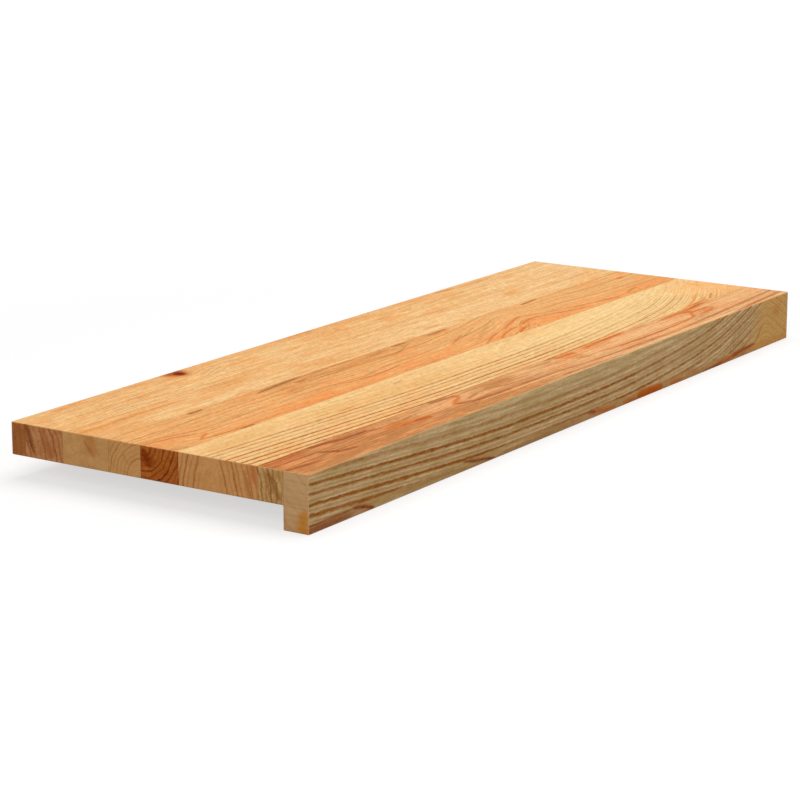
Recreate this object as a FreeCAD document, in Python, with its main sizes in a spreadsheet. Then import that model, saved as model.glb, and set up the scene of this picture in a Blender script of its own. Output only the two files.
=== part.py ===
"""Oak stair tread with a drop nosing, in millimetres.

The tread is a board of full-length staves glued edge to edge, with one deeper strip glued to its front
edge as the nosing. The strip is flush with the walking face and hangs below the board's underside.
The arris of every outer edge is eased, and the glued edges stay square so that the joints close.

Frame: +X runs along the step, +Y from the nosing to the wall, +Z up out of the walking face. The origin
is the centre of the tread's footprint, level with the underside of the nosing.
"""

import FreeCAD, Part
import os
import Sketcher

# Driving dimensions. The staves are counted from the nosing to the wall edge.
SIZES = {
    "tread_length": 840,
    "tread_depth": 300,
    "board_thickness": 28,
    "nosing_height": 48,
    "nosing_thickness": 24,
    "arris_radius": 1,
    "stave_1_width": 24,
    "stave_3_width": 38,
    "stave_4_width": 33,
    "stave_5_width": 48,
    "stave_6_width": 40,
    "stave_7_width": 15,
}
STAVES = ["stave_%d" % number for number in range(1, 8)]
FIELD_STAVE = "stave_2"
TOLERANCE = 0.001


def make_sheet(doc):
    """The sheet of driving dimensions, one cell with an alias for each."""
    sheet = doc.addObject("Spreadsheet::Sheet", "sizes")
    for row, (alias, value) in enumerate(SIZES.items(), start=1):
        sheet.set("A%d" % row, alias.replace("_", " "))
        sheet.set("B%d" % row, "%g" % value)
        sheet.setAlias("B%d" % row, alias)
    doc.recompute()


def width_of(stave):
    """The expression for a stave's width: its own, or for the wide field stave the rest of the depth."""
    if stave != FIELD_STAVE:
        return "sizes.%s_width" % stave
    others = [width_of(other) for other in STAVES if other != FIELD_STAVE]
    return "(%s)" % " - ".join(["sizes.tread_depth", "sizes.nosing_thickness"] + others)


def origin_plane(body, role):
    """One of a body's own origin planes, found by its role."""
    return next(plane for plane in body.Origin.OriginFeatures if plane.Role == role)


def draw_section(body, corners):
    """A sketch of a closed outline on the end plane, with every side level or upright.

    The first corner is the body's own origin, at the foot of its front face. The corners only say how
    the outline runs: bind_side gives each side its size.
    """
    sketch = body.newObject("Sketcher::SketchObject", body.Name + "_section")
    sketch.AttachmentSupport = [(origin_plane(body, "YZ_Plane"), "")]
    sketch.MapMode = "FlatFace"
    points = [FreeCAD.Vector(across, up, 0) for across, up in corners]
    for start, end in zip(points, points[1:] + points[:1]):
        side = sketch.addGeometry(Part.LineSegment(start, end))
        level = abs(end.y - start.y) < TOLERANCE
        sketch.addConstraint(Sketcher.Constraint("Horizontal" if level else "Vertical", side))
    for side in range(len(points)):
        following = (side + 1) % len(points)
        sketch.addConstraint(Sketcher.Constraint("Coincident", side, 2, following, 1))
    sketch.addConstraint(Sketcher.Constraint("Coincident", 0, 1, -1, 1))
    return sketch


def bind_side(sketch, side, name, expression):
    """Give one side of an outline its length from the sheet."""
    length = sketch.Geometry[side].length()
    constraint = sketch.addConstraint(Sketcher.Constraint("Distance", side, length))
    sketch.renameConstraint(constraint, name)
    sketch.setExpression("Constraints." + name, expression)


def extrude_section(body, sketch):
    """Run a section the whole length of the tread, half of it each way from the middle."""
    pad = body.newObject("PartDesign::Pad", body.Name + "_length")
    pad.Profile = sketch
    pad.SideType = "Symmetric"
    pad.Refine = False
    pad.setExpression("Length", "sizes.tread_length")
    body.Document.recompute()
    return pad


def edges_between(shape, faces):
    """The names of a shape's edges that lie on two of the named faces of its box."""
    box = shape.BoundBox

    def faces_at(point):
        offsets = {
            "left": point.x - box.XMin,
            "right": point.x - box.XMax,
            "front": point.y - box.YMin,
            "back": point.y - box.YMax,
            "foot": point.z - box.ZMin,
            "top": point.z - box.ZMax,
        }
        return sum(abs(offsets[face]) < TOLERANCE for face in faces)

    return [
        "Edge%d" % number
        for number, edge in enumerate(shape.Edges, start=1)
        if faces_at(edge.CenterOfMass) == 2
    ]


def ease_arrises(body, pad, edges):
    """Round the outer edges of a piece to the arris radius."""
    fillet = body.newObject("PartDesign::Fillet", body.Name + "_arrises")
    fillet.Base = (pad, edges)
    fillet.Refine = False
    fillet.setExpression("Radius", "sizes.arris_radius")


def make_nosing(doc):
    """The deeper strip along the front edge, glued to the first stave.

    A corner in its section where the board's underside meets it keeps the glued part of its back face
    apart from the open part below, which bears on the riser.
    """
    body = doc.addObject("PartDesign::Body", "nosing_strip")
    depth = SIZES["nosing_thickness"]
    height = SIZES["nosing_height"]
    drop = height - SIZES["board_thickness"]
    sketch = draw_section(body, [(0, 0), (depth, 0), (depth, drop), (depth, height), (0, height)])
    bind_side(sketch, 0, "strip_thickness", "sizes.nosing_thickness")
    bind_side(sketch, 1, "open_back", "sizes.nosing_height - sizes.board_thickness")
    bind_side(sketch, 2, "glued_back", "sizes.board_thickness")
    pad = extrude_section(body, sketch)
    front_edges = edges_between(pad.Shape, ["left", "right", "front", "foot", "top"])
    foot_edge = edges_between(pad.Shape, ["foot", "back"])
    ease_arrises(body, pad, front_edges + foot_edge)
    body.setExpression("Placement.Base.y", "-sizes.tread_depth / 2")
    return body


def make_stave(doc, name, piece_in_front, depth_in_front, at_wall):
    """One full-length stave, butted against the piece in front of it.

    The edges of its sawn ends are eased, and so are the long back edges of the stave at the wall.
    """
    body = doc.addObject("PartDesign::Body", name)
    thickness = SIZES["board_thickness"]
    sketch = draw_section(body, [(0, 0), (thickness, 0), (thickness, thickness), (0, thickness)])
    bind_side(sketch, 0, "stave_width", width_of(name))
    bind_side(sketch, 1, "stave_thickness", "sizes.board_thickness")
    pad = extrude_section(body, sketch)
    outer_faces = ["left", "right", "foot", "top"] + (["back"] if at_wall else [])
    ease_arrises(body, pad, edges_between(pad.Shape, outer_faces))
    place_in_front = piece_in_front.Name + ".Placement.Base.y"
    body.setExpression("Placement.Base.y", "%s + %s * 1 mm" % (place_in_front, depth_in_front))
    body.setExpression("Placement.Base.z", "sizes.nosing_height - sizes.board_thickness")
    return body


def build_tread():
    """The whole tread: the nosing, then each stave against the one before it."""
    doc = FreeCAD.newDocument("stair_tread")
    make_sheet(doc)
    pieces = [make_nosing(doc)]
    depth_in_front = "sizes.nosing_thickness"
    for name in STAVES:
        pieces.append(make_stave(doc, name, pieces[-1], depth_in_front, name == STAVES[-1]))
        depth_in_front = width_of(name)
    doc.recompute()
    return doc, pieces


def check_document(doc, pieces):
    """Stop if any object failed, or if a piece isn't one valid solid."""
    for thing in doc.Objects:
        if "Invalid" in thing.State or "Error" in thing.State:
            raise RuntimeError("%s failed to build: %s" % (thing.Name, thing.State))
    for piece in pieces:
        shape = piece.Shape
        if shape.isNull() or not shape.isValid() or len(shape.Solids) != 1:
            raise RuntimeError("%s isn't one valid solid" % piece.Label)


def write_pieces(pieces):
    """One exchange file for each piece, named after it."""
    os.makedirs("parts", exist_ok=True)
    for piece in pieces:
        piece.Shape.exportStep("parts/%s.step" % piece.Label)


tread_document, tread_pieces = build_tread()
check_document(tread_document, tread_pieces)
write_pieces(tread_pieces)
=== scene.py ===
"""Looks for an oak stair tread: procedural timber for its staves and nosing, a floor, lamps and a camera."""

import math
from types import SimpleNamespace

import bpy
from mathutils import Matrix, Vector


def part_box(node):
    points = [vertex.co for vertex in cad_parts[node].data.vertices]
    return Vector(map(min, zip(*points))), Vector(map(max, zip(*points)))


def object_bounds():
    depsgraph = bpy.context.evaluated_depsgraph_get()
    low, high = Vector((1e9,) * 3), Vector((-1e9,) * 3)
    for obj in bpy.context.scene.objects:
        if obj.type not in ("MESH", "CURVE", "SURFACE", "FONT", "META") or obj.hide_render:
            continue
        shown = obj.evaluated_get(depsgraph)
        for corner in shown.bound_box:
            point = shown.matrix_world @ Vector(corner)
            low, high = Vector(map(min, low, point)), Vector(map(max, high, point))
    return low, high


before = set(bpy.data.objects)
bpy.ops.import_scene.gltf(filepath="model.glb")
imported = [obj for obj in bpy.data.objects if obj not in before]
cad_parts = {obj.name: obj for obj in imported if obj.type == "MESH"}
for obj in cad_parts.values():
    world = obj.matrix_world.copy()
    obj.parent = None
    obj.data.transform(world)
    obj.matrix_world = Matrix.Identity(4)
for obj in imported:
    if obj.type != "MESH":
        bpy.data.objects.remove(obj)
cad_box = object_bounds()

# Measures of the tread, from the frame. Patterns are laid out in millimetres: along the step from its left
# end, back from the wall edge towards the nosing, and down from the walking face.
MM = 1000.0
TREAD_LOW, TREAD_HIGH = (Vector(corner) for corner in cad_box)
STAVES = sorted(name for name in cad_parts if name.startswith("stave_"))
NOSING = "nosing_strip"
LENGTH = (TREAD_HIGH.x - TREAD_LOW.x) * MM
DEPTH = (TREAD_HIGH.y - TREAD_LOW.y) * MM
BOARD = (TREAD_HIGH.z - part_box(STAVES[0])[0][2]) * MM
NOSING_HEIGHT = (TREAD_HIGH.z - TREAD_LOW.z) * MM


def edges_across(node):
    """How far a piece's wall edge and nosing edge lie from the tread's wall edge, in millimetres."""
    low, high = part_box(node)
    return (TREAD_HIGH.y - high[1]) * MM, (TREAD_HIGH.y - low[1]) * MM


def srgb(red, green, blue):
    """A colour as it is seen, from 0 to 255, turned into the linear values that shaders work in."""
    parts = [part / 255 for part in (red, green, blue)]
    linear = [part / 12.92 if part <= 0.04045 else ((part + 0.055) / 1.055) ** 2.4 for part in parts]
    return (*linear, 1.0)


# Laying out nodes


def adds(operation):
    """A method that adds a math node: of the signal itself, or of it and another signal or number."""
    return lambda signal, *others: signal.graph.math(operation, signal, *others)


class Signal:
    """An output socket that holds one number for each point, with arithmetic that adds math nodes."""

    def __init__(self, graph, socket):
        self.graph = graph
        self.socket = socket

    # A sum or a product is the same either way round.
    __add__ = __radd__ = adds("ADD")
    __mul__ = __rmul__ = adds("MULTIPLY")
    __sub__ = adds("SUBTRACT")
    __truediv__ = adds("DIVIDE")
    __pow__ = adds("POWER")
    __abs__ = adds("ABSOLUTE")
    least = adds("MINIMUM")
    most = adds("MAXIMUM")
    floor = adds("FLOOR")
    fraction = adds("FRACT")
    exp = adds("EXPONENT")
    root = adds("SQRT")

    def __rsub__(self, other):
        return self.graph.math("SUBTRACT", other, self)

    def rise(self, low, high):
        """From 0 at low to 1 at high, level outside them and smooth between."""
        return self.graph.ramp(self, low, high)


class Graph:
    """One node tree, and the ways that nodes are added to it."""

    def __init__(self, tree):
        self.tree = tree

    def node(self, kind, *values, **settings):
        """A node with its settings made and its first inputs fed."""
        made = self.tree.nodes.new(kind)
        for name, setting in settings.items():
            setattr(made, name, setting)
        for socket, value in zip(made.inputs, values):
            self.feed(socket, value)
        return made

    def feed(self, socket, value):
        """Link a signal or socket to an input, or set the input to a number, vector or colour."""
        source = value.socket if isinstance(value, Signal) else value
        if isinstance(source, bpy.types.NodeSocket):
            self.tree.links.new(source, socket)
        else:
            socket.default_value = source

    def math(self, operation, *values):
        return Signal(self, self.node("ShaderNodeMath", *values, operation=operation).outputs[0])

    def ramp(self, *values):
        """From 0 to 1 while a value goes from low to high."""
        settings = {"interpolation_type": "SMOOTHSTEP", "clamp": False}
        made = self.node("ShaderNodeMapRange", *values, 0.0, 1.0, **settings)
        return self.read(made, "Result")

    def vector(self, *parts):
        return self.node("ShaderNodeCombineXYZ", *parts).outputs[0]

    def noise(self, vector, detail=2.0, roughness=0.5):
        """Cloudy noise about 0.5, read at a place in units of its own grain."""
        made = self.node("ShaderNodeTexNoise", vector)
        self.feed(made.inputs["Scale"], 1.0)
        self.feed(made.inputs["Detail"], detail)
        self.feed(made.inputs["Roughness"], roughness)
        return self.read(made, "Fac")

    def mix(self, share, first, second, blend="MIX"):
        """Two colours mixed by a share from 0 to 1."""
        made = self.node("ShaderNodeMix", share, data_type="RGBA", blend_type=blend, clamp_factor=True)
        self.feed(made.inputs[6], first)
        self.feed(made.inputs[7], second)
        return made.outputs[2]

    def blend(self, share, first, second):
        """Two numbers mixed by a share from 0 to 1."""
        made = self.node("ShaderNodeMix", share, data_type="FLOAT", clamp_factor=True)
        self.feed(made.inputs[2], first)
        self.feed(made.inputs[3], second)
        return Signal(self, made.outputs[0])

    def place(self, group, **values):
        """A node group set into this tree, with its inputs fed."""
        made = self.node("ShaderNodeGroup", node_tree=group)
        for name, value in values.items():
            self.feed(made.inputs[label_of(name)], value)
        return made

    def read(self, placed, name):
        """One numeric output of a node."""
        return Signal(self, placed.outputs[name])

    def read_all(self, placed):
        """All outputs of a node, by their names in small letters."""
        return {output.name.lower(): Signal(self, output) for output in placed.outputs}


def shader_of(owner):
    """The emptied shader tree of a material or of the world."""
    owner.use_nodes = True
    owner.node_tree.nodes.clear()
    return Graph(owner.node_tree)


SOCKETS = {float: "NodeSocketFloat", tuple: "NodeSocketColor", Vector: "NodeSocketVector"}


def label_of(name):
    """The name of a group's socket, from the word that stands for it in a call."""
    return name.replace("_", " ").capitalize()


def new_group(name, inputs, outputs):
    """A shader node group with named sockets. Returns the group, its graph, its inputs and its outlet."""
    group = bpy.data.node_groups.new(name, "ShaderNodeTree")
    for label, default in inputs.items():
        socket = group.interface.new_socket(label, in_out="INPUT", socket_type=SOCKETS[type(default)])
        socket.default_value = default
    for label, kind in outputs.items():
        group.interface.new_socket(label, in_out="OUTPUT", socket_type=SOCKETS[kind])
    graph = Graph(group)
    entry = graph.node("NodeGroupInput")
    outlet = graph.node("NodeGroupOutput")
    given = SimpleNamespace()
    for label, default in inputs.items():
        output = entry.outputs[label]
        value = Signal(graph, output) if type(default) is float else output
        setattr(given, label.lower().replace(" ", "_"), value)
    return group, graph, given, outlet


def put_out(graph, outlet, **values):
    """Link a group's results to its outputs."""
    for name, value in values.items():
        graph.feed(outlet.inputs[label_of(name)], value)


# Effects that the timbers share


def make_place_group():
    """Turns object coordinates into distances on the tread, in millimetres.

    Along grows from the left end, Back from the wall edge towards the nosing, Down from the walking face.
    """
    outputs = dict.fromkeys(("Along", "Back", "Down"), float)
    group, graph, given, outlet = new_group("place_on_tread", {"Object": Vector((0, 0, 0))}, outputs)
    corner = (-TREAD_LOW.x * MM, TREAD_HIGH.y * MM, TREAD_HIGH.z * MM)
    values = (given.object, (MM, -MM, -MM), corner)
    scaled = graph.node("ShaderNodeVectorMath", *values, operation="MULTIPLY_ADD")
    parts = graph.node("ShaderNodeSeparateXYZ", scaled.outputs[0])
    put_out(graph, outlet, along=parts.outputs[0], back=parts.outputs[1], down=parts.outputs[2])
    return group


GOLDEN_RATIO = 0.618


def make_rings_group():
    """Growth rings of a ring-porous wood, from a count that rises by one for each ring.

    A ring starts with a soft dark line of large pores and then deepens slowly to the next one. The rings
    are unevenly wide. Each ring's strength steps on by the golden ratio, so that strong and faint lines
    alternate without repeating, and Weakest is the faintest. Fine adds faint lines half a ring apart.
    """
    inputs = {"Count": 0.0, "Fine": 0.0, "Seed": 0.0, "Line share": 0.4, "Unevenness": 0.5, "Weakest": 0.35}
    outputs = {"Line": float, "Body": float}
    group, graph, given, outlet = new_group("growth_rings", inputs, outputs)
    count = given.count
    drift = graph.noise(graph.vector(count * 0.8, given.seed * 7.3, 0.0), detail=1.0) - 0.5
    uneven = count + drift * given.unevenness
    ring = uneven.floor()
    part = uneven - ring
    strength = (ring * GOLDEN_RATIO + given.seed).fraction()
    share = given.line_share
    line = part.rise(0.0, share * 0.5) * (1.0 - part.rise(share * 0.6, share * 1.5))
    half = (uneven * 2.0 + 0.75).fraction()
    fine = half.rise(0.05, 0.4) * (1.0 - half.rise(0.4, 0.85)) * given.fine
    uneven_line = (line * graph.blend(strength, given.weakest, 1.15)).most(fine)
    put_out(graph, outlet, line=uneven_line, body=part * part)
    return group


def make_fibre_group():
    """Fine structure along the grain, from broad to narrow.

    Mottle is soft patches of another tone, Streaks are bands of tone, Strokes short bands, Fibres fine
    threads, Dashes short breaks in them, Flecks small dull flakes, and Pores the open vessels. Noise is
    stretched along the step, so the same structure shows as specks on the sawn ends. Rays are the sheen of
    the wood's rays, which cross the grain aslant.
    """
    inputs = dict.fromkeys(("Along", "Across", "Down", "Seed"), 0.0)
    labels = ("Mottle", "Streaks", "Strokes", "Fibres", "Dashes", "Flecks", "Pores", "Rays")
    group, graph, given, outlet = new_group("fibre", inputs, dict.fromkeys(labels, float))

    def stretched(length, width, detail, roughness=0.5):
        along = given.along / length + given.seed * 13.1
        cell = graph.vector(along, given.across / width, given.down / width)
        return graph.noise(cell, detail, roughness)

    aslant = graph.vector(
        (given.along * 0.6 - given.across * 0.8) / 8.0,
        (given.along * 0.8 + given.across * 0.6) / 2.4,
        given.down / 6.0 + given.seed,
    )
    put_out(
        graph,
        outlet,
        mottle=stretched(48.0, 11.0, 2.0, 0.6).rise(0.46, 0.68),
        streaks=stretched(70.0, 4.5, 6.0, 0.8),
        strokes=stretched(24.0, 3.0, 3.0, 0.65),
        fibres=stretched(14.0, 1.1, 3.0, 0.75),
        dashes=stretched(9.0, 1.5, 2.0, 0.7).rise(0.45, 0.62),
        flecks=stretched(16.0, 1.6, 1.0).rise(0.54, 0.76),
        pores=stretched(6.0, 0.4, 0.0).rise(0.60, 0.76),
        rays=graph.noise(aslant, detail=2.0, roughness=0.7),
    )
    return group


def make_cloud_group():
    """Noise about 0.5, whose clouds have a length along the grain and a width across it in millimetres."""
    inputs = {"Along": 0.0, "Across": 0.0, "Length": 50.0, "Width": 10.0, "Detail": 2.0, "Roughness": 0.5}
    group, graph, given, outlet = new_group("cloud", inputs, {"Cloud": float})
    cell = graph.vector(given.along / given.length, given.across / given.width, 4.0)
    put_out(graph, outlet, cloud=graph.noise(cell, given.detail, given.roughness))
    return group


def make_swell_group():
    """How far a swelling in the wood lifts its rings sideways: most at its middle, less as a bell away."""
    inputs = {
        **dict.fromkeys(("Along", "Across", "Middle along", "Middle across"), 0.0),
        **dict.fromkeys(("Reach along", "Reach across", "Lift"), 1.0),
    }
    group, graph, given, outlet = new_group("swell", inputs, {"Lift": float})
    along = (given.along - given.middle_along) / given.reach_along
    across = (given.across - given.middle_across) / given.reach_across
    bell = (-1.0 * (along * along + across * across)).exp()
    put_out(graph, outlet, lift=bell * given.lift)
    return group


def make_streak_group():
    """A single streak or patch: a bent line that narrows to both ends, wanders and has a ragged rim.

    The line starts from its middle, leaves the grain by its slope and bends as a parabola. Wander moves it
    aside and Rim makes its width uneven. It is laid over the mask Under, and the stronger of the two stays.
    """
    inputs = {
        **dict.fromkeys(("Under", "Along", "Across", "Wander"), 0.0),
        **dict.fromkeys(("Middle along", "Middle across", "Slope", "Bend"), 0.0),
        **dict.fromkeys(("Rim", "Half length", "Width", "Strength"), 1.0),
    }
    group, graph, given, outlet = new_group("streak", inputs, {"Mask": float})
    run = (given.along - given.middle_along) / given.half_length
    wander = given.wander * (given.width + 1.0)
    line = given.middle_across + run * (given.slope + given.bend * run) + wander
    narrowing = (1.0 - run * run).most(0.04).root()
    aside = (given.across - line) / (given.width * narrowing * given.rim)
    fading = 1.0 - abs(run).rise(0.7, 1.05)
    mask = (-1.0 * (aside * aside)).exp() * fading * given.strength
    put_out(graph, outlet, mask=given.under.most(mask))
    return group


def make_end_rings_group():
    """Rings seen on a sawn end: tall ovals about the pith, and rays that run out from it.

    The wood round the pith is smooth, as far as Core. Lean spreads the rings apart downwards. The pith
    drifts a little along the step, so the two ends differ.
    """
    inputs = {
        **dict.fromkeys(("Back", "Down", "Along", "Pith back", "Pith down", "Lean", "Seed"), 0.0),
        "Ring width": 4.0,
        "Flatness": 0.6,
        "Core": 13.0,
        "Waves": 1.0,
    }
    outputs = {"Count": float, "Rays": float, "Smooth": float}
    group, graph, given, outlet = new_group("end_rings", inputs, outputs)
    cell = graph.vector(given.back / 9.0, given.down / 12.0, given.seed * 3.7)
    wave = (graph.noise(cell, detail=2.0) - 0.5) * given.waves
    aside = given.back - given.pith_back - given.along * 0.012
    under = (given.down - given.pith_down) * given.flatness
    radius = (aside * aside + under * under).root()
    angle = graph.math("ARCTAN2", under, aside)
    rays = graph.noise(graph.vector(angle * 90.0, radius * 0.05, given.seed), detail=2.0).rise(0.55, 0.75)
    smooth = 1.0 - radius.rise(given.core - 4.0, given.core + 4.0)
    count = (radius - given.down * given.lean) / given.ring_width + wave
    put_out(graph, outlet, count=count, rays=rays, smooth=smooth)
    return group


def make_glue_line_group():
    """A hairline where two pieces are glued: at the piece's edges, but not on the tread's outer faces."""
    inputs = {"Back": 0.0, "Down": 0.0, "Wall edge": 0.0, "Nosing edge": 0.0, "Width": 0.3}
    group, graph, given, outlet = new_group("glue_line", inputs, {"Mask": float})
    back = given.back
    nearest = abs(back - given.wall_edge).least(abs(back - given.nosing_edge))
    inside = back.rise(0.5, 1.5) * (DEPTH - back).rise(0.5, 1.5)
    in_board = 1.0 - given.down.rise(BOARD, BOARD + 0.5)
    put_out(graph, outlet, mask=(1.0 - (nearest / given.width).rise(0.3, 1.0)) * inside * in_board)
    return group


def make_arris_highlight_group():
    """The eased outer edges, where two outer faces of the tread meet. Its mask carries a painted highlight.
    """
    inputs = {"Along": 0.0, "Back": 0.0, "Down": 0.0, "Reach": 1.2}
    group, graph, given, outlet = new_group("arris", inputs, {"Mask": float})
    to_end = given.along.least(LENGTH - given.along)
    to_side = given.back.least(DEPTH - given.back)
    gaps = (to_end, to_side, given.down)
    end, side, face = (1.0 - (gap / given.reach).rise(0.4, 1.0) for gap in gaps)
    put_out(graph, outlet, mask=(end * side).most(side * face).most(end * face))
    return group


OAK_ROUGHNESS = 0.76
# Shade takes more from the blue than from the red, so that dark grain is warm.
SHADE_PARTS = (0.75, 1.0, 1.3)


def make_oak_group():
    """Oak as it is finished, from its masks: colour, roughness and height.

    The ground goes between two tones by streaks, strokes and shade, with soft patches of a third. It
    deepens through each ring to its line colour, and the lines are broken by dashes. Mark tints it orange,
    and Dark is for single dark lines and spots. Pores and glue lines are sunk and dull.
    """
    colours = ("Light", "Deep", "Blotch", "Line", "Mark", "Core", "Pale")
    masks = ("Mottle", "Line", "Body", "Flecks", "Pores", "Mark", "Dark", "Pale", "Shade", "Joint")
    inputs = {
        **{colour + " colour": srgb(230, 180, 120) for colour in colours},
        **dict.fromkeys(masks, 0.0),
        **dict.fromkeys(("Streaks", "Strokes", "Fibres", "Dashes", "Rays", "Contrast"), 0.5),
        "Grain strength": 1.0,
        "Pore strength": 0.5,
        "Ray strength": 0.34,
    }
    outputs = {"Color": tuple, "Roughness": float, "Height": float}
    group, graph, given, outlet = new_group("finished_oak", inputs, outputs)
    strokes = given.strokes - 0.5
    streak = given.streaks.rise(0.32, 0.68) * 0.8 + strokes * 0.8 + given.shade
    ring = given.line * (0.45 + given.fibres * 0.8 + given.dashes * 0.4) + given.body * 0.12
    fleck = given.flecks * 0.4 * given.pore_strength
    color = graph.mix(streak, given.light_colour, given.deep_colour)
    color = graph.mix(given.mottle * 0.7, color, given.blotch_colour)
    color = graph.mix(given.pale, color, given.pale_colour)
    color = graph.mix(ring * given.contrast + fleck, color, given.line_colour)
    color = graph.mix(given.mark, color, given.mark_colour)
    color = graph.mix(given.dark * (0.8 + given.dashes * 0.25), color, given.core_colour)
    pore = given.pores * (0.3 + given.line * 0.9) * given.pore_strength
    vein = (given.line * given.contrast).rise(0.35, 0.95) * given.dashes * 0.18
    thread = (given.fibres - 0.5) * 0.55 + strokes * 0.35 + (given.rays - 0.5) * given.ray_strength
    shade = thread * given.grain_strength + 1.0 - pore * 0.6 - vein - given.joint * 0.4
    shades = (1.0 + (shade - 1.0) * part for part in SHADE_PARTS)
    shade_color = graph.node("ShaderNodeCombineColor", *shades)
    color = graph.mix(1.0, color, shade_color.outputs[0], blend="MULTIPLY")
    roughness = OAK_ROUGHNESS + (given.streaks - 0.5) * 0.14 + pore * 0.2 - given.body * 0.05
    height = given.fibres * 0.4 + given.body * 0.3 - given.line * 0.2 - pore - given.joint
    put_out(graph, outlet, color=color, roughness=roughness, height=height)
    return group


PLACE = make_place_group()
RINGS = make_rings_group()
FIBRE = make_fibre_group()
CLOUD = make_cloud_group()
SWELL = make_swell_group()
STREAK = make_streak_group()
END_RINGS = make_end_rings_group()
GLUE_LINE = make_glue_line_group()
ARRIS_HIGHLIGHT = make_arris_highlight_group()
OAK = make_oak_group()


# Figure of the long faces


# How far the grain runs along and across the board for each millimetre down through it. A knot goes almost
# straight through.
DIVE = 5.0
LEAN = 0.35
KNOT_DIVE = 0.4
SPOT_NUMBERS = 5
FIGURE_INPUTS = dict.fromkeys(("Along", "Back", "Down"), 0.0)
FIGURE_OUTPUTS = dict.fromkeys(
    ("Count", "Fine", "Across", "Contrast", "Mark", "Dark", "Pale", "Shade"), float
)


def raggedness(noise):
    """How far a streak wanders and how wide its rim is, from one noise about 0.5."""
    return {"wander": noise - 0.5, "rim": noise * 1.8 + 0.1}


def streak_values(start, end, across_start, across_end, width, strength, bend=0.0):
    """The streak group's values for one streak. Its bend moves its two ends, against its middle."""
    return {
        "middle_along": (start + end) / 2,
        "middle_across": (across_start + across_end) / 2 - bend,
        "half_length": (end - start) / 2,
        "slope": (across_end - across_start) / 2,
        "bend": bend,
        "width": width,
        "strength": strength,
    }


class Board:
    """The figure of one piece's board, laid out on its face in distances along and across the grain.

    low and high are how far across the piece lies. Streaks that stay clear of it are left out. A spot is
    its middle along and across, its reach along and across, and its strength. A streak is its start and
    end along the grain, its start and end across it, its width, its strength and, unless it is straight,
    its bend.
    """

    def __init__(self, name, low, high):
        self.group, self.graph, given, self.outlet = new_group(name, FIGURE_INPUTS, FIGURE_OUTPUTS)
        self.low, self.high = low, high
        # The grain dives a little through the board, so the underside shows other cuts of the same rings.
        self.along = given.along + given.down * DIVE
        self.across = given.back + given.down * LEAN
        self.through = given.along + given.down * KNOT_DIVE
        self.ragged = self.cloud(length=26.0, width=2.6, detail=3.0, roughness=0.7)
        self.rims = raggedness(self.ragged)
        self.waves = self.cloud(length=95.0, width=34.0) - 0.5
        # The edges of the rings are rough.
        self.rough = (self.cloud(length=8.0, width=1.4, detail=3.0, roughness=0.65) - 0.5) * 2.2

    def read(self, group, label, **values):
        """One output of a group that is placed on this board."""
        placed = self.graph.place(group, **{"along": self.along, "across": self.across, **values})
        return self.graph.read(placed, label)

    def cloud(self, **values):
        """Noise about 0.5 whose clouds have a length and a width in millimetres."""
        return self.read(CLOUD, "Cloud", **values)

    def swell(self, along, across, reach_along, reach_across, lift, of_knot=False):
        """A soft bell about a middle, that lifts rings or tints the wood."""
        return self.read(
            SWELL,
            "Lift",
            along=self.through if of_knot else self.along,
            middle_along=along,
            middle_across=across,
            reach_along=reach_along,
            reach_across=reach_across,
            lift=lift,
        )

    def marks(self, *marks, over=0.0, of_knot=False):
        """A mask with spots, of five numbers each, and streaks, of six or seven, over what it held before."""
        mask = over
        for mark in marks:
            if len(mark) == SPOT_NUMBERS:
                mask = self.swell(*mark, of_knot).most(mask)
                continue
            values = streak_values(*mark)
            middle = values["middle_across"] + values["bend"]
            reach = abs(values["slope"]) + abs(values["bend"]) + 2.0 * values["width"]
            if middle + reach > self.low and middle - reach < self.high:
                mask = self.read(STREAK, "Mask", under=mask, **self.rims, **values)
        return mask

    def finish(self, **values):
        """Put out the figure: the count of rings and where they run, and the masks of the colours."""
        put_out(self.graph, self.outlet, **values)
        return self.group


def board_of(node, kind):
    """The board that a piece is cut from. The grain leans, so its underside shows wood from further on."""
    wall_edge, nosing_edge = edges_across(node)
    return Board("%s_board_of_%s" % (kind, node), wall_edge, nosing_edge + BOARD * LEAN)


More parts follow.
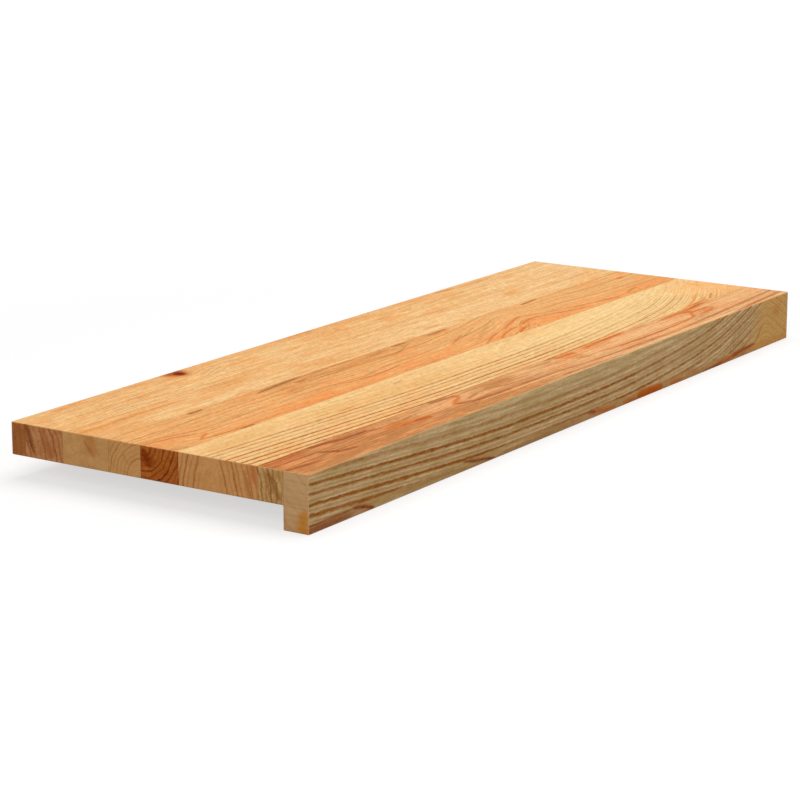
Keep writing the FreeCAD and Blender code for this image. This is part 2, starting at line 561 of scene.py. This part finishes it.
def make_wall_board(node):
    """The board along the wall edge: mild and honey coloured, with a knot that the wall edge cuts through."""
    board = board_of(node, "wall")
    back = board.across
    # The grain parts round the knot.
    lift = board.swell(209, 6, 26, 16, -9) + board.swell(238, 28, 22, 14, 7)
    patches = board.cloud(length=52.0, width=9.0, detail=3.0, roughness=0.6).rise(0.54, 0.7) * 0.4
    plain = board.swell(250, 60, 120, 40, 0.9)
    warm = (1.0 - back.rise(4, 18)) * (board.swell(110, 0, 80, 30, 0.2) + board.swell(470, 0, 300, 30, 0.3))
    tint = (warm * (0.4 + board.ragged * 1.2)).most(patches * (1.0 - plain))
    knot = board.swell(207, 6, 13, 12, 1.6, of_knot=True)
    mark = board.marks(
        (0, 74, 80, 11, 0.42),
        (0, 92, 60, 12, 0.35),
        (680, 70, 20, 7, 0.5),
        (-60, 152, 61, 62, 1.8, 0.5),
        (-60, 150, 74, 71, 3.8, 0.8),
        (-30, 70, 86, 88, 3.2, 0.5),
        (3, 26, 24, 24, 2, 0.7),
        (40, 64, 6, 8, 3.2, 0.55),
        (62, 86, 6, 7, 3.4, 0.65),
        (138, 170, 3, 8, 4, 0.5),
        (160, 202, 30, 27, 3, 0.4),
        (252, 304, 27, 26, 2, 0.6),
        (374, 430, 3, 5, 3.4, 0.7),
        (400, 430, 29, 27, 2.8, 0.5),
        (430, 510, 7, 9, 3.2, 0.5),
        (482, 524, 29, 28, 3, 0.6),
        (534, 564, 27, 25, 2.6, 0.6),
        (572, 668, 26, 23, 3, 0.5),
        (630, 668, 5, 7, 3.6, 0.75),
        (666, 740, 10, 8, 3, 0.6),
        (480, 514, 90, 89, 2.2, 0.6),
        over=knot.most(tint + board.swell(425, 28, 60, 24, 0.18)),
    )
    dark_knot = board.marks(
        (210, 9.5, 6.5, 6.5, 1.8),
        (205, 5, 9, 8.5, 0.75),
        (214, 4, 8, 8.5, 0.85),
        of_knot=True,
    )
    dark = board.marks(
        (218, 252, 27, 18, 1.1, 0.3),
        (221, 256, 32, 22, 1.1, 0.3),
        (225, 260, 37, 27, 1.1, 0.25),
        (158, 248, 62, 62, 1.2, 0.14),
        (392, 428, 1, 3, 2, 0.25),
        (736, 764, 81, 79, 1.4, 0.16),
        (764, 808, 82, 76, 1.6, 0.18),
        (366, 420, 94, 90, 1.4, 0.16),
        over=dark_knot,
    )
    pale = board.marks(
        (504, 74, 22, 8, 0.8),
        (650, 91, 28, 7, 0.9),
        (664, 60, 20, 8, 0.6),
        (600, 82, 210, 24, 0.5),
        (840, 36, 150, 50, 0.5),
        (230, 460, 101, 101, 1.8, 0.8),
        (450, 509, 99, 98, 3.2, 1),
        (712, 745, 94, 92, 2.2, 0.8),
        (110, 250, 99, 88, 5, 0.5),
    )
    shade = board.swell(203, 68, 44, 7, 0.6) + board.swell(330, 92, 70, 12, 0.3)
    shade = shade + board.swell(70, 8, 60, 10, 0.1)
    across = back + lift + board.waves * 9.0 + board.rough
    contrast = 0.5 + board.swell(105, 36, 55, 13, 0.7)
    return board.finish(
        count=across / 3.4, across=across, contrast=contrast, mark=mark, dark=dark, pale=pale, shade=shade
    )


# Lines of the arched rings, each a dark streak with a soft orange rim: where both start and end, the width
# and strength of the rim, those of the dark line, and the bend of both.
ARCH_LINES = (
    ((524, 590, 154.5, 133), (3, 0.7), (1.8, 0.4), 1.5),
    ((576, 692, 133.4, 161), (2.4, 0.5), (1.7, 0.3), -3.5),
    ((488, 550, 174.5, 156.6), (2.6, 0.7), (1.6, 0.4), 4.5),
    ((552, 602, 157.5, 151), (3, 0.85), (1.9, 0.5), 4.5),
    ((592, 670, 149.5, 170), (2.8, 0.6), (1.8, 0.35), -0.5),
    ((254, 352, 150.5, 151.5), (2.2, 0.7), (1.4, 0.45), -5),
    ((-20, 60, 139.5, 156.5), (2.6, 0.6), (1.8, 0.45), 5.5),
)


def make_cathedral_board(node):
    """The tan board, redder towards its lower edge, with nested arches two thirds of the way along."""
    board = board_of(node, "cathedral")
    along, back = board.along, board.across
    arch = board.swell(560, 150, 85, 55, 21) + board.swell(578, 150, 33, 55, 19)
    arch = arch.most(board.swell(650, 150, 60, 55, 12))
    near_arch = (1.0 - along.rise(0, 62)) * back.rise(120, 150) * 16.0
    trough = board.swell(292, 152, 32, 14, -5)
    across = back + arch + near_arch + trough + board.waves * 7.0 + board.rough
    near_joint = back.rise(136, 164)
    warm = near_joint * (0.1 + along.rise(60, 220) * 0.18) + board.swell(180, 170, 110, 9, 0.25)
    under_arch = board.swell(590, 166, 66, 14, 0.5)
    mark = board.marks(
        (10, 150, 60, 12, 0.35),
        (168, 156, 22, 5, 0.45),
        (356, 159, 20, 9, 0.5),
        (385, 134, 20, 7, 0.4),
        *((*place, *rim, bend) for place, rim, core, bend in ARCH_LINES),
        (204, 240, 160, 160, 1.8, 0.75),
        (490, 514, 173, 162, 3.6, 0.9),
        (522, 548, 173, 163, 3.6, 0.9),
        (560, 612, 158, 158, 3, 0.4, 2),
        (636, 674, 163, 170, 2.8, 0.9),
        (738, 880, 160, 162, 6, 0.5),
        (796, 822, 121, 121, 2.6, 0.7),
        (432, 490, 150, 129, 2.6, 0.4),
        (36, 61, 168, 156, 2.2, 0.85),
        (460, 500, 111, 109, 2, 0.6),
        over=(warm * (0.4 + board.ragged * 1.2)).most(under_arch * (0.5 + board.ragged)),
    )
    dark = board.marks(
        *((*place, *core, bend) for place, rim, core, bend in ARCH_LINES),
        (97, 119, 106.5, 107, 1.9, 0.95),
        (184, 264, 112.5, 105.5, 2.6, 0.9, 1.5),
        (236, 260, 115, 115.5, 1.7, 0.8),
        (250, 334, 113, 122, 1.2, 0.3, 1),
        (258, 350, 106, 106, 1.3, 0.5),
        (402, 430, 106, 107, 2.4, 0.8),
        (380, 426, 127, 111, 1.5, 0.45),
        (340, 400, 112, 108, 1.3, 0.35),
        (460, 500, 107.5, 106, 2.1, 0.8),
        (630, 669, 107.5, 104.5, 2.1, 0.75, -0.5),
        (802, 816, 121.5, 121.5, 1.7, 0.55),
        (-20, 76, 131, 149.5, 1.8, 0.35, 3),
        (36, 60, 167.5, 156.5, 1.7, 0.3),
        (-22, 16, 160, 172, 2, 0.5),
        (36, 92, 165.5, 172, 1.3, 0.4),
        (83, 105, 172, 172, 1.6, 0.95),
        (460, 514, 173.5, 154, 1.3, 0.45, 0.5),
        (522, 562, 174, 161.5, 1.8, 0.5, 2),
        (438, 490, 149, 129, 1.3, 0.45, -1),
        (456, 522, 146, 122, 1.4, 0.3),
        (452, 544, 167, 124, 3, 0.2),
        (688, 726, 161, 171, 1.8, 0.45),
        (742, 778, 167, 159.5, 1.9, 0.5, 1),
    )
    shade = board.swell(320, 114, 150, 16, 0.35) + board.swell(215, 128, 20, 8, 0.4)
    pale = board.marks(
        (600, 120, 150, 30, 0.35),
        (720, 140, 100, 20, 0.3),
        (175, 122, 40, 9, 0.3),
        (585, 166, 60, 12, 0.45),
        (500, 590, 158.5, 141, 2, 0.4),
    )
    count = across / 8.0 + 0.1
    return board.finish(
        count=count, fine=0.45, across=across, contrast=0.42, mark=mark, dark=dark, pale=pale, shade=shade
    )


def run_of_rings(board):
    """How far the pale timber's rings run aside: they sink to the middle, sweep back and then hook up."""
    sink = board.along.rise(-150, 340) * 21.0 - 6.5
    sweep = 3.0 * ((board.along - 430.0) / 100.0).most(0.0) ** 1.9
    hook = 15.0 * ((board.along - 670.0) / 110.0).most(0.0) ** 2.0
    return sweep + hook - sink


def make_ringed_board(node):
    """The pale board whose rings run as fine parallel lines, sink a little, and sweep up at the far end."""
    board = board_of(node, "ringed")
    along, back = board.along, board.across
    across = back + run_of_rings(board) + board.rough
    count = (across - 222.9) / 7.3 + 0.2 + board.waves * 0.12
    # The sweep stops at a slanting front, and beyond it the wood is plain and warm.
    beyond = (along - back * 1.4).rise(430, 490)
    fading = 1.0 - along.rise(440, 600) * 0.55
    contrast = 0.12 + across.rise(180, 222) * back.rise(182, 210) * (1.0 - beyond) * fading * 1.08
    far_tint = along.rise(730, 820) * back.rise(174, 205) * (0.1 + board.ragged * 0.6)
    patches = board.cloud(length=60.0, width=8.0, detail=3.0, roughness=0.6).rise(0.45, 0.65) * 0.3
    near_tint = back.rise(206, 230) * (1.0 - along.rise(150, 420)) * patches
    mark = board.marks(
        (822, 205, 14, 24, 0.5),
        (330, 620, 248, 251, 1.4, 0.5),
        (172, 204, 206, 205, 1.8, 0.6),
        (736, 780, 244, 225, 2.2, 0.6),
        (706, 768, 251, 247, 3, 0.9, 0.5),
        (530, 590, 250, 250, 1.6, 0.8),
        over=far_tint.most(near_tint),
    )
    dark = board.marks(
        (282, 300, 189.5, 187, 1.7, 0.55),
        (178, 200, 206, 205, 1.5, 0.4),
        (196, 214, 250.5, 246, 1.4, 0.5),
        (626, 654, 242.5, 241.5, 1.2, 0.5),
        (714, 764, 251, 248, 1.8, 0.6, 0.5),
        (762, 794, 251, 236.5, 1.8, 0.65),
        (752, 772, 247, 240, 1.3, 0.4),
    )
    pale = board.marks((650, 215, 150, 40, 0.7), (560, 800, 190, 176, 5.0, 0.4, -3))
    shade = board.marks(
        (250, 200, 160, 16, 0.55),
        (80, 190, 110, 14, 0.5),
        (540, 184, 90, 13, 0.4),
        (150, 210, 202, 205, 3, 0.7),
        (255, 300, 192, 191, 2, 0.5),
        (326, 372, 208, 210, 3.4, 0.5),
    )
    fine = 0.12 + along.rise(560, 680) * 0.4
    return board.finish(
        count=count, fine=fine, across=across, contrast=contrast, mark=mark, dark=dark, pale=pale, shade=shade
    )


def make_red_board(node):
    """The pinkish board along the nosing, with wandering dark red lines and orange patches."""
    board = board_of(node, "red")
    along, back = board.along, board.across
    across = back + board.waves * 10.0 + board.swell(300, 262, 60, 14, 7) + board.rough
    mark = board.marks(
        (713, 270, 14, 4, 0.55),
        (-60, 66, 257, 257, 6, 0.45),
        (146, 184, 270, 273.5, 4.6, 0.8),
        (170, 210, 274.5, 278, 4.2, 0.8),
        (246, 281, 274.5, 257.5, 3.4, 0.75),
        (226, 242, 289, 286, 2.6, 0.4),
        (442, 480, 256.5, 258, 4.6, 0.9),
        (448, 478, 261, 268, 4.4, 0.6),
        (456, 476, 269, 277.5, 2.6, 0.6),
        (490, 584, 256.5, 253, 4, 0.85),
        (488, 545, 259, 259, 4, 0.4),
        (484, 692, 276, 275.5, 2.1, 0.85, -5),
        (674, 699, 279, 261, 3.2, 0.8),
        (636, 736, 257.5, 255.5, 4, 0.8),
        (680, 704, 258, 263, 4.4, 0.95),
        (688, 733, 266.5, 268, 2, 0.85, 2),
        (690, 732, 275, 270, 2.2, 0.85, -2.5),
        (698, 776, 257.5, 248.5, 3.4, 0.85, 0.5),
    )
    dark = board.marks(
        (-60, 68, 252.5, 253, 2.2, 0.75),
        (-80, 66, 257, 258, 5.5, 0.42),
        (54, 108, 251, 260.5, 3, 1),
        (92, 140, 259.5, 260.5, 2.6, 0.95, -0.5),
        (130, 152, 261, 267, 2, 0.6),
        (-30, 64, 262.5, 267.5, 2, 0.7),
        (56, 75, 266, 280, 3.2, 0.95),
        (64, 94, 278, 283, 2.6, 0.9, -0.5),
        (84, 170, 282.5, 286, 1.3, 0.35),
        (-24, 46, 274.5, 283.5, 2.8, 0.8, -1),
        (181, 207, 276.5, 278, 1.9, 0.75),
        (236, 281, 254, 258, 2.4, 0.8, 1),
        (250, 274, 273, 279, 2.8, 0.75),
        (260, 336, 277.5, 281.5, 2.4, 0.8, -1.8),
        (306, 452, 281, 285.5, 2, 0.6),
        (272, 298, 272, 266, 2.2, 0.35),
        (394, 438, 257, 258, 1.8, 0.45),
        (428, 456, 252, 252.5, 1.9, 0.85),
        (526, 578, 254.5, 252, 1.7, 0.45),
        (586, 626, 254.5, 255, 2, 0.3),
        (512, 646, 280, 280.5, 1.2, 0.4, -0.8),
        (704, 774, 256.5, 248, 2, 0.5, 0.5),
        (716, 734, 266, 269, 1.5, 0.4),
        (376, 626, 284, 293.6, 2.1, 0.64, -1),
        (596, 890, 293.4, 278, 2.1, 0.66, -0.5),
        (386, 506, 294, 299, 2, 0.6),
        (716, 890, 299.5, 288.5, 2.2, 0.68),
    )
    near_end = 1.0 - along.rise(80, 330)
    near_nosing = (1.0 - along.rise(320, 430)) * back.rise(268, 286)
    shade = (near_end * (0.6 + back.rise(262, 284) * 0.4)).most(near_nosing * 0.75)
    shade = shade + board.swell(332, 262, 32, 10, 0.9)
    pale = board.marks(
        (590, 268, 80, 9, 0.7),
        (790, 268, 60, 12, 0.6),
        (190, 320, 268, 262, 6, 0.3),
        (262, 480, 284, 289.5, 1.3, 0.7),
        (440, 780, 297, 296, 1.6, 0.7),
    )
    contrast = 0.3 + near_end * 0.3
    return board.finish(
        count=across / 4.8, across=across, contrast=contrast, mark=mark, dark=dark, pale=pale, shade=shade
    )


def make_nosing_face():
    """The front of the nosing: rings that hang in long bowls, and a redder edge along the bottom."""
    board = Board("nosing_face", 0.0, NOSING_HEIGHT)
    along, down = board.along, board.across
    # The rings rise to a point near the far end and fall away beyond it.
    fan = along.rise(630, 730) * 3.2
    past = along - 790.0
    fall = (past + (past * past + 80.0).root()) * 0.58
    across = down + run_of_rings(board) + fan - fall + board.rough * 1.4
    count = (across - 9.2) / 8.4 + 0.26 + board.waves * 0.1
    beyond = (along + down * 0.6).rise(760, 800)
    edge = (down + board.waves * 3.0).rise(39.0, 41.0)
    fading = 1.0 - along.rise(400, 620) * 0.42
    contrast = (0.24 + across.rise(-12, 12) * fading * 0.8) * (1.0 - beyond * 0.6) * (1.0 - edge * 0.85)
    patches = board.marks(
        (432, 462, 41, 45, 3, 0.6),
        (446, 486, 43, 47, 3, 0.8),
        (492, 522, 45, 46, 3.4, 0.8),
        (518, 576, 44, 44.5, 4.4, 1.3),
        (584, 618, 45.5, 45.5, 3, 0.8),
        (672, 732, 47, 43.5, 3, 0.9),
        (710, 766, 44, 39.5, 3.6, 0.8, -0.5),
    )
    strokes = board.marks(
        (-90, 70, 45, 45, 6, 0.8),
        (-80, 72, 41.2, 40.8, 1.1, 0.9, -0.3),
        (56, 92, 40, 48, 2.2, 1.1, 1),
        (84, 250, 44, 44, 4.6, 0.12),
        (270, 430, 46.5, 45.5, 3, 0.35),
        (216, 276, 39, 47.5, 1.7, 1),
        (360, 440, 40.5, 41, 0.9, 0.6),
        (428, 446, 41, 43.5, 2, 0.85),
        (495, 580, 46.5, 46, 1.6, 0.4),
        (650, 700, 47, 46, 1.8, 0.7),
        (714, 770, 43, 38.5, 2.8, 0.75, -0.8),
    )
    edge_tint = edge * (0.04 + along.rise(350, 450) * (0.06 + board.ragged * 0.24))
    patches = patches * (0.45 + board.ragged) * down.rise(37, 41)
    flecks = edge * board.rough.rise(0.1, 0.5) * 0.3
    return board.finish(
        count=count,
        fine=0.4 + along.rise(590, 700) * 0.35,
        across=across,
        contrast=contrast,
        mark=board.marks((813, 14, 8, 5, 0.4), over=edge_tint.most(patches)),
        dark=board.marks(
            (766, 784, 40, 22.5, 1.6, 0.6),
            over=(strokes * down.rise(37.5, 40.5)).most(flecks),
        ),
        pale=beyond * 0.85,
        shade=edge * 0.45 + board.swell(350, 8, 160, 14, 0.1),
    )


NOSING_FACE = make_nosing_face()


# Colours of the timbers


def palette(**seen):
    """A timber's colours by the names of the oak group's inputs, from how they are seen."""
    return {name + "_colour": srgb(*colour) for name, colour in seen.items()}


HONEY = palette(
    light=(255, 220, 160),
    deep=(234, 164, 95),
    blotch=(248, 180, 110),
    line=(208, 134, 62),
    mark=(226, 140, 60),
    core=(128, 24, 0),
    pale=(255, 218, 162),
)
TAN = palette(
    light=(255, 205, 137),
    deep=(216, 143, 78),
    blotch=(255, 174, 104),
    line=(190, 112, 44),
    mark=(248, 138, 62),
    core=(148, 82, 30),
    pale=(255, 200, 132),
)
STRAW = palette(
    light=(255, 223, 161),
    deep=(238, 186, 118),
    blotch=(250, 196, 134),
    line=(190, 114, 46),
    mark=(250, 158, 80),
    core=(160, 94, 36),
    pale=(255, 222, 158),
)
ROSE = palette(
    light=(254, 200, 140),
    deep=(196, 134, 80),
    blotch=(244, 164, 102),
    line=(190, 108, 46),
    mark=(216, 110, 34),
    core=(154, 68, 26),
    pale=(254, 200, 142),
)
KHAKI = palette(
    light=(246, 217, 166),
    deep=(196, 156, 98),
    blotch=(202, 174, 114),
    line=(172, 104, 34),
    mark=(206, 102, 20),
    core=(150, 62, 22),
    pale=(230, 176, 100),
)


def pith(back, down, ring_width, **rest):
    """Where the pith of a piece lies and how its end rings look, as the end rings group takes it."""
    return {"pith_back": back, "pith_down": down, "ring_width": ring_width, **rest}


def end_colours(light, deep, line, mark=(150, 80, 30), core=(110, 50, 14)):
    """The colours of a sawn end, which is darker than the long faces."""
    return palette(light=light, deep=deep, blotch=deep, line=line, mark=mark, core=core, pale=light)


# Materials


# How far a surface is turned to the end, or up, where it starts to count as such and where it does.
TURNED = (0.6, 0.8)
# The strength of the grain and of the weakest growth rings, for the boards and for the nosing.
GRAIN, TOP_GRAIN, FRONT_GRAIN = 1.3, 1.2, 1.15
WEAKEST, FRONT_WEAKEST = 0.35, 0.8
LINE_SHARE, END_LINE_SHARE = 0.44, 0.4
RING_SEED = 0.72
END_RAYS = 0.2
END_PORES = 0.7
END_DULLNESS = 0.1
OAK_SPECULAR = 0.06
BUMP_STRENGTH = 0.5
BUMP_DEPTH = 0.00012
# A painted highlight along the eased edges: how much of it is mixed in, and its colour.
ARRIS_HIGHLIGHT_SHARE = 0.18
ARRIS_HIGHLIGHT_COLOUR = srgb(238, 196, 140)


def oak(name, node, face, face_palette, end, end_palette, end_contrast, stain, spot):
    """The material of one piece: figured long faces, sawn ends, glue lines, painted highlight on eased edges.

    face makes the figure of its long faces. end says where its pith lies and how its end rings look. stain
    and spot are an orange and a dark streak on its sawn ends, laid out down and back from its upper edge.
    """
    material = bpy.data.materials.new(name)
    graph = shader_of(material)
    coordinates = graph.node("ShaderNodeTexCoord")
    place = graph.read_all(graph.place(PLACE, object=coordinates.outputs["Object"]))
    along, back, down = place["along"], place["back"], place["down"]
    facing = graph.node("ShaderNodeSeparateXYZ", coordinates.outputs["Normal"])
    on_end = abs(graph.read(facing, "X")).rise(*TURNED)
    wall_edge, nosing_edge = edges_across(node)
    seed = wall_edge / 10

    figure = graph.read_all(graph.place(face(node), **place))
    colours, weakest, grain_strength = face_palette, WEAKEST, GRAIN
    if node == NOSING:
        on_top = graph.read(facing, "Z").rise(*TURNED)
        front = graph.read_all(graph.place(NOSING_FACE, along=along, back=down, down=nosing_edge - back))
        figure = {label: graph.blend(on_top, front[label], figure[label]) for label in figure}
        colours = {key: graph.mix(on_top, KHAKI[key], face_palette[key]) for key in face_palette}
        weakest = graph.blend(on_top, FRONT_WEAKEST, WEAKEST)
        grain_strength = graph.blend(on_top, FRONT_GRAIN, TOP_GRAIN)

    fibre = graph.place(FIBRE, along=along, across=figure.pop("across"), down=down, seed=seed)
    joint = graph.place(GLUE_LINE, back=back, down=down, wall_edge=wall_edge, nosing_edge=nosing_edge)
    masks = {"joint": graph.read(joint, "Mask"), **graph.read_all(fibre)}
    rings = graph.place(
        RINGS,
        count=figure.pop("count"),
        fine=figure.pop("fine"),
        line_share=LINE_SHARE,
        weakest=weakest,
        seed=RING_SEED,
    )
    long_oak = graph.place(
        OAK, **graph.read_all(rings), grain_strength=grain_strength, **figure, **colours, **masks
    )

    end_rings = graph.read_all(graph.place(END_RINGS, **place, seed=seed, **end))
    end_lines = graph.place(RINGS, count=end_rings["count"], seed=seed, line_share=END_LINE_SHARE)
    rims = raggedness(masks["streaks"])
    end_mark, end_dark = (
        graph.read(graph.place(STREAK, along=down, across=back, **rims, **streak_values(*stroke)), "Mask")
        for stroke in (stain, spot)
    )
    end_oak = graph.place(
        OAK,
        **graph.read_all(end_lines),
        contrast=(1.0 - end_rings["smooth"]) * end_contrast,
        mark=end_mark,
        dark=end_dark,
        pale=end_rings["rays"] * END_RAYS,
        pore_strength=END_PORES,
        ray_strength=0.0,
        **end_palette,
        **masks,
    )

    color = graph.mix(on_end, long_oak.outputs["Color"], end_oak.outputs["Color"])
    roughness = graph.blend(on_end, long_oak.outputs["Roughness"], end_oak.outputs["Roughness"])
    height = graph.blend(on_end, long_oak.outputs["Height"], end_oak.outputs["Height"])
    arris = graph.read(graph.place(ARRIS_HIGHLIGHT, **place), "Mask")
    # The eased edges get a painted highlight: a paler colour mixed in along them.
    color = graph.mix(arris * ARRIS_HIGHLIGHT_SHARE, color, ARRIS_HIGHLIGHT_COLOUR)

    bump = graph.node("ShaderNodeBump")
    bump.inputs["Strength"].default_value = BUMP_STRENGTH
    bump.inputs["Distance"].default_value = BUMP_DEPTH
    graph.feed(bump.inputs["Height"], height)
    surface = graph.node("ShaderNodeBsdfPrincipled")
    surface.inputs["Specular IOR Level"].default_value = OAK_SPECULAR
    graph.feed(surface.inputs["Base Color"], color)
    graph.feed(surface.inputs["Roughness"], roughness + on_end * END_DULLNESS)
    graph.feed(surface.inputs["Normal"], bump.outputs[0])
    graph.node("ShaderNodeOutputMaterial", surface.outputs[0])
    return material


# Each piece: its board's figure and colours, its pith and rings, and the colours, ring contrast, orange
# streak and dark streak of its sawn ends.
PIECES = {
    "nosing_strip": (
        make_red_board,
        ROSE,
        pith(250, 140, 5.0),
        end_colours((214, 172, 124), (204, 158, 108), (188, 136, 80), (206, 132, 44), (186, 110, 30)),
        0.25,
        (28, 56, 296, 294, 7, 0.9),
        (30, 52, 277, 278, 1.2, 0.3),
    ),
    "stave_1": (
        make_red_board,
        ROSE,
        pith(215, 34, 4.5, waves=1.6),
        end_colours((218, 176, 116), (192, 142, 80), (144, 88, 32), (168, 100, 40), (146, 94, 34)),
        0.7,
        (2, 26, 259, 264, 1.8, 0.6),
        (3, 26, 262, 273, 3.4, 0.8),
    ),
    "stave_2": (
        make_ringed_board,
        STRAW,
        pith(205, 40, 5.0, flatness=0.1, lean=0.22, core=9, waves=0.6),
        end_colours((224, 164, 104), (208, 144, 82), (172, 104, 46), (196, 112, 58), (160, 92, 36)),
        0.75,
        (-6, 16, 246, 249, 4, 0.7),
        (4, 30, 238, 246, 1.8, 0.6),
    ),
    "stave_3": (
        make_cathedral_board,
        TAN,
        pith(136, -2, 4.6, flatness=1.0, core=9, waves=1.3),
        end_colours((200, 116, 50), (170, 86, 26), (124, 46, 0), (164, 72, 18), (130, 46, 0)),
        0.85,
        (-2, 12, 139, 143, 3, 0.3),
        (2, 18, 138, 145, 6, 0.95),
    ),
    "stave_4": (
        make_cathedral_board,
        TAN,
        pith(138, 28, 3.7, flatness=0.95, core=12, waves=0.9),
        end_colours((220, 165, 104), (210, 150, 88), (172, 108, 46)),
        0.6,
        (4, 26, 104, 110, 4, 0.1),
        (8, 20, 116, 124, 1.2, 0.25),
    ),
    "stave_5": (
        make_wall_board,
        HONEY,
        pith(80, 110, 7.0, waves=1.4),
        end_colours((216, 166, 106), (206, 150, 88), (186, 120, 64), (190, 116, 54), (156, 88, 36)),
        0.25,
        (-4, 18, 82, 88, 7, 0.6),
        (4, 20, 77, 89, 1.6, 0.5),
    ),
    "stave_6": (
        make_wall_board,
        HONEY,
        pith(-20, 42, 5.4, waves=1.0, lean=0.1),
        end_colours((212, 152, 97), (192, 122, 72), (148, 80, 36), (162, 86, 42), (124, 58, 16)),
        0.6,
        (0, 26, 33, 42, 4, 0.4),
        (-4, 26, 14, 25, 2.6, 0.9),
    ),
    "stave_7": (
        make_wall_board,
        HONEY,
        pith(-90, 30, 5.5, waves=0.6),
        end_colours((188, 120, 66), (174, 104, 52), (136, 76, 32)),
        0.5,
        (0, 28, 8, 9, 4, 0.3),
        (6, 28, 2, 3, 2, 0.3),
    ),
}


def dress_pieces():
    """Give every piece its own oak."""
    for node, looks in PIECES.items():
        material = oak("oak_" + node, node, *looks)
        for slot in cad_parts[node].material_slots:
            slot.material = material


dress_pieces()


# Floor, light and camera


# The view is the photograph's: the camera stands off the left end and looks a little down on the step.
CAMERA_BEARING = math.radians(56.43)
CAMERA_PITCH = math.radians(13.83)
CAMERA_AIM = Vector((-0.3703, -0.2005, 0.1035))
CAMERA_DISTANCE = 2.0123
CAMERA_LENS = 119.1
FLOOR_SIZE = 40.0
FLOOR_COLOUR = (0.4, 0.4, 0.4, 1.0)
FLOOR_GLOW = 0.62
FLOOR_FADING = (0.5, 1.6)
WHITE = (1.0, 1.0, 1.0, 1.0)
WORLD_LIGHT = 0.35
# Each lamp: where it stands, how wide it is and its power in watts.
LAMPS = {
    "softbox_above": ((0.4, -0.1, 2.4), 2.0, 36.0),
    "softbox_left": ((-2.3, -0.8, 1.3), 1.2, 20.0),
    "softbox_front": ((1.2, -2.2, 1.2), 1.2, 7.0),
}


def add_object(name, data):
    """Put a mesh, a lamp or the camera into the scene."""
    thing = bpy.data.objects.new(name, data)
    bpy.context.scene.collection.objects.link(thing)
    return thing


def seen_directly(graph):
    """One for what the camera sees itself, or sees mirrored or through something clear."""
    rays = graph.node("ShaderNodeLightPath")
    seen = graph.read(rays, "Is Camera Ray")
    for label in ("Is Glossy Ray", "Is Transmission Ray"):
        seen = seen.most(graph.read(rays, label))
    return seen


def make_floor():
    """A plain pale floor that keeps the object's shadow and is white all round it.

    Its own glow makes up for the lamplight that fades with distance from the object.
    """
    half = FLOOR_SIZE / 2
    corners = [(x * half, y * half, TREAD_LOW.z) for x, y in ((-1, -1), (1, -1), (1, 1), (-1, 1))]
    mesh = bpy.data.meshes.new("floor")
    mesh.from_pydata(corners, [], [(0, 1, 2, 3)])
    floor = add_object("floor", mesh)
    material = bpy.data.materials.new("floor_pale")
    graph = shader_of(material)
    coordinates = graph.node("ShaderNodeTexCoord")
    distance = graph.node("ShaderNodeVectorMath", coordinates.outputs["Object"], operation="LENGTH")
    away = graph.read(distance, "Value").rise(*FLOOR_FADING)
    lift = graph.blend(away, FLOOR_GLOW, 1.0)
    diffuse = graph.node("ShaderNodeBsdfDiffuse", FLOOR_COLOUR)
    glow = graph.node("ShaderNodeEmission", WHITE, seen_directly(graph) * lift)
    both = graph.node("ShaderNodeAddShader", diffuse.outputs[0], glow.outputs[0])
    graph.node("ShaderNodeOutputMaterial", both.outputs[0])
    mesh.materials.append(material)


def make_world():
    """Even light from all round, and white where the camera looks past the floor."""
    world = bpy.data.worlds.new("studio")
    graph = shader_of(world)
    strength = graph.blend(seen_directly(graph), WORLD_LIGHT, 1.0)
    background = graph.node("ShaderNodeBackground", WHITE, strength)
    graph.node("ShaderNodeOutputWorld", background.outputs[0])
    bpy.context.scene.world = world


def add_lamp(name, place, size, power):
    """A square soft lamp aimed at the middle of the tread."""
    lamp = bpy.data.lights.new(name, "AREA")
    lamp.shape = "SQUARE"
    lamp.size = size
    lamp.energy = power
    thing = add_object(name, lamp)
    thing.location = place
    thing.rotation_euler = (-Vector(place)).to_track_quat("-Z", "Y").to_euler()


def make_camera():
    """The camera at the photograph's viewing angle."""
    look = Vector((
        math.sin(CAMERA_BEARING) * math.cos(CAMERA_PITCH),
        math.cos(CAMERA_BEARING) * math.cos(CAMERA_PITCH),
        -math.sin(CAMERA_PITCH),
    ))
    data = bpy.data.cameras.new("camera")
    data.lens = CAMERA_LENS
    data.clip_end = 100.0
    camera = add_object("camera", data)
    camera.location = CAMERA_AIM - look * CAMERA_DISTANCE
    camera.rotation_euler = look.to_track_quat("-Z", "Y").to_euler()
    bpy.context.scene.camera = camera


make_floor()
make_world()
for name, looks in LAMPS.items():
    add_lamp(name, *looks)
make_camera()
bpy.context.scene.view_settings.view_transform = "Standard"
